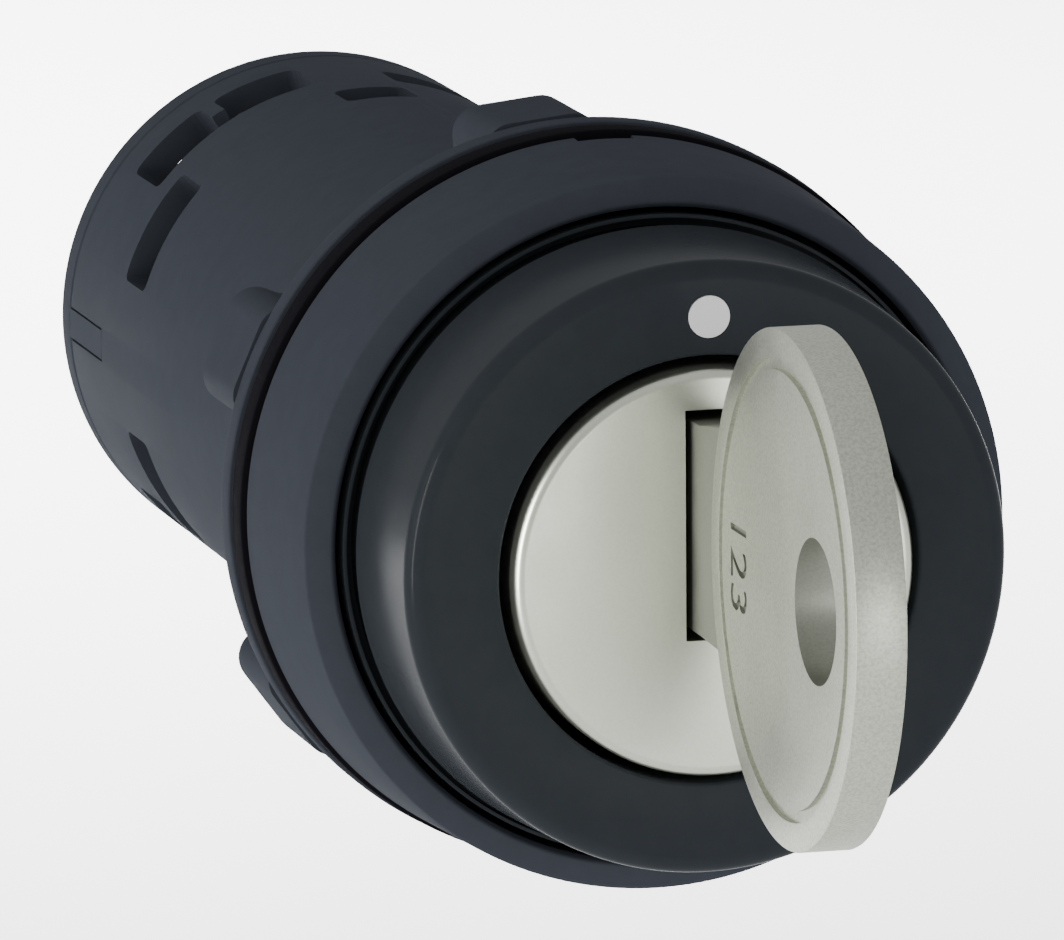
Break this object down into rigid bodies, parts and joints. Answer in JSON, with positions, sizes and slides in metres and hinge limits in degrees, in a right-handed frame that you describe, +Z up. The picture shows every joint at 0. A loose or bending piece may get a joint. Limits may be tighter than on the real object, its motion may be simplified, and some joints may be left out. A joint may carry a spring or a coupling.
{
  "type": "key selector switch",
  "caption": "Panel-mounted rotary selector switch turned by a removable key, with a locking nut, a gasket and a switching block with screw terminals behind.",
  "frame": {"origin": "on the turning axis, in the plane where the gasket meets the front of the panel", "axes": "+Y runs along the turning axis towards the rear cover, -Y is the operator's side, +Z is up, +X is to the operator's right"},
  "size_m": [0.0296, 0.0867, 0.03],
  "materials": {
    "black_plastic": "fine matte dark blue-grey moulding",
    "drum_plastic": "satin dark blue-grey moulding",
    "rubber": "matte black rubber",
    "nickel": "satin warm nickel plate",
    "steel": "bright zinc-plated steel",
    "brass": "plain brass",
    "copper": "plain copper strip",
    "silver": "silver contact rivet",
    "white": "matte white",
    "grey_plastic": "matte grey moulding",
    "cream_plastic": "matte cream insulating moulding"
  },
  "bodies": {
    "housing": {"housing_shell": "black_plastic", "bezel_ring": "black_plastic", "panel_gasket": "rubber", "lock_sleeve": "brass", "detent_spring": "steel", "contact_carrier": "grey_plastic", "terminal_block": "cream_plastic", "rear_cover": "black_plastic", "fixed_contact_left": "copper", "fixed_contact_right": "copper", "fixed_pad_left": "silver", "fixed_pad_right": "silver", "clamp_plate_left": "steel", "clamp_plate_right": "steel", "terminal_screw_left": "steel", "terminal_screw_right": "steel", "return_spring": "steel"},
    "selector": {"selector_drum": "drum_plastic", "drum_seal": "rubber", "index_dot": "white", "lock_core": "nickel", "core_o_ring": "rubber", "retaining_clip": "steel", "cam": "grey_plastic"},
    "key": {"key": "nickel"},
    "wafers_up": {"wafer_1": "brass", "wafer_3": "brass"},
    "wafers_down": {"wafer_2": "brass", "wafer_4": "brass"},
    "follower": {"follower": "cream_plastic", "contact_bridge": "copper", "moving_pad_left": "silver", "moving_pad_right": "silver"},
    "washer": {"thrust_washer": "black_plastic"},
    "nut": {"panel_nut": "black_plastic"}
  },
  "joints": [
    {"name": "selector_turn", "type": "hinge", "parent": "housing", "child": "selector", "pos_m": [0, 0, 0], "axis": [0, 1, 0], "range_deg": [-45, 45]},
    {"name": "key_slide", "type": "slide", "parent": "selector", "child": "key", "axis": [0, -1, 0], "range_m": [0, 0.024]},
    {"name": "wafers_up_slide", "type": "slide", "parent": "selector", "child": "wafers_up", "axis": [0, 0, 1], "range_m": [0, 0.0006]},
    {"name": "wafers_down_slide", "type": "slide", "parent": "selector", "child": "wafers_down", "axis": [0, 0, -1], "range_m": [0, 0.0006]},
    {"name": "follower_slide", "type": "slide", "parent": "housing", "child": "follower", "axis": [0, 1, 0], "range_m": [-0.0015, 0.0015], "deforming": ["return_spring"]},
    {"name": "washer_slide", "type": "slide", "parent": "housing", "child": "washer", "axis": [0, 1, 0], "range_m": [0, 0.006]},
    {"name": "nut_spin", "type": "hinge", "parent": "washer", "child": "nut", "pos_m": [0, 0, 0], "axis": [0, 1, 0], "range_deg": [0, 1080]}
  ],
  "couplings": [
    {"joint": "wafers_up_slide", "follows": "key_slide", "ratio": 0.025},
    {"joint": "wafers_down_slide", "follows": "key_slide", "ratio": 0.025},
    {"joint": "follower_slide", "follows": "selector_turn", "m_per_rad": 0.0019099},
    {"joint": "nut_spin", "follows": "washer_slide", "rad_per_m": 3141.6}
  ]
}
